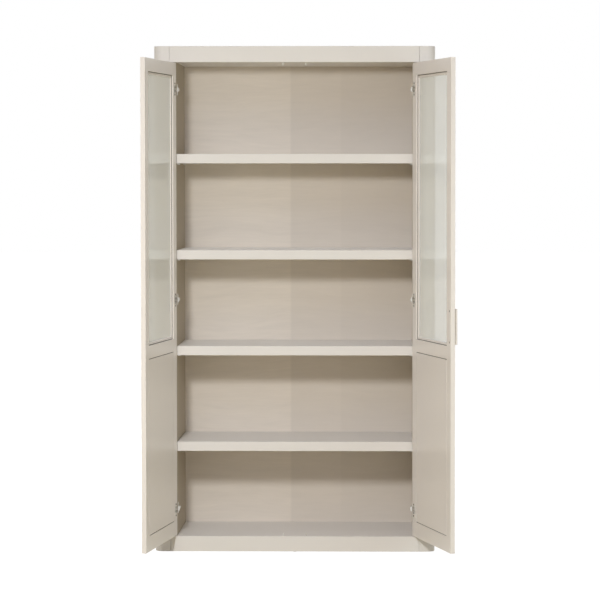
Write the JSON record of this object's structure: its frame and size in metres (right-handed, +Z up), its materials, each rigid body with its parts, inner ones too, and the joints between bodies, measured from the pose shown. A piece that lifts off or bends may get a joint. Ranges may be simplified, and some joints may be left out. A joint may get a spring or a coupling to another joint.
{
  "type": "display cabinet",
  "caption": "Tall painted cabinet with fixed shelves behind two inset doors, each with a glass upper field and a flat lower panel.",
  "frame": {"origin": "on the floor, at the underside of the middle glide, in the middle of the case's footprint", "axes": "+X to the right seen from the front, +Y to the back panel, +Z up"},
  "size_m": [1.2878, 0.9542, 2.164],
  "materials": {
    "painted_wood": "satin paint",
    "back_board": "satin paint over faint grain",
    "plain_wood": "bare",
    "glass": "clear",
    "steel": "nickel plated",
    "plastic": "matte"
  },
  "bodies": {
    "case": {"back_panel": "back_board", "back_screws": "steel", "base_bearer": "painted_wood", "base_rear_rail": "painted_wood", "bottom_panel": "painted_wood", "bottom_rail": "painted_wood", "case_dowels": "plain_wood", "ceiling_panel": "painted_wood", "corner_post_left": "painted_wood", "corner_post_right": "painted_wood", "floor_glides": "plastic", "hinge_arms_left": "steel", "hinge_arms_right": "steel", "hinge_plates_left": "steel", "hinge_plates_right": "steel", "hinge_screws": "steel", "rear_stile_left": "painted_wood", "rear_stile_right": "painted_wood", "shelf_1": "painted_wood", "shelf_2": "painted_wood", "shelf_3": "painted_wood", "shelf_4": "painted_wood", "shelf_supports": "steel", "side_panel_inner_left": "painted_wood", "side_panel_inner_right": "painted_wood", "side_panel_outer_left": "painted_wood", "side_panel_outer_right": "painted_wood", "stop_pins_bottom": "plastic", "stop_pins_top": "plastic", "top_board": "painted_wood", "top_rail": "painted_wood", "top_rear_rail": "painted_wood"},
    "door_right": {"door_handle": "painted_wood", "door_right_bottom_rail": "painted_wood", "door_right_cup_screws": "steel", "door_right_frame_dowels": "plain_wood", "door_right_glass": "glass", "door_right_glass_beads": "painted_wood", "door_right_hinge_cups": "steel", "door_right_hinge_pins": "steel", "door_right_hinge_stile": "painted_wood", "door_right_lock_stile": "painted_wood", "door_right_lower_panel": "painted_wood", "door_right_mid_rail": "painted_wood", "door_right_top_rail": "painted_wood", "handle_screws": "steel"},
    "door_left": {"door_left_bottom_rail": "painted_wood", "door_left_cup_screws": "steel", "door_left_frame_dowels": "plain_wood", "door_left_glass": "glass", "door_left_glass_beads": "painted_wood", "door_left_hinge_cups": "steel", "door_left_hinge_pins": "steel", "door_left_hinge_stile": "painted_wood", "door_left_lock_stile": "painted_wood", "door_left_lower_panel": "painted_wood", "door_left_mid_rail": "painted_wood", "door_left_top_rail": "painted_wood"}
  },
  "joints": [
    {"name": "left_door_hinge", "type": "hinge", "parent": "case", "child": "door_left", "pos_m": [-0.518, -0.217, 0], "axis": [0, 0, 1], "range_deg": [-11.3, 98.7]},
    {"name": "right_door_hinge", "type": "hinge", "parent": "case", "child": "door_right", "pos_m": [0.518, -0.217, 0], "axis": [0, 0, 1], "range_deg": [-106.7, 3.3]}
  ]
}
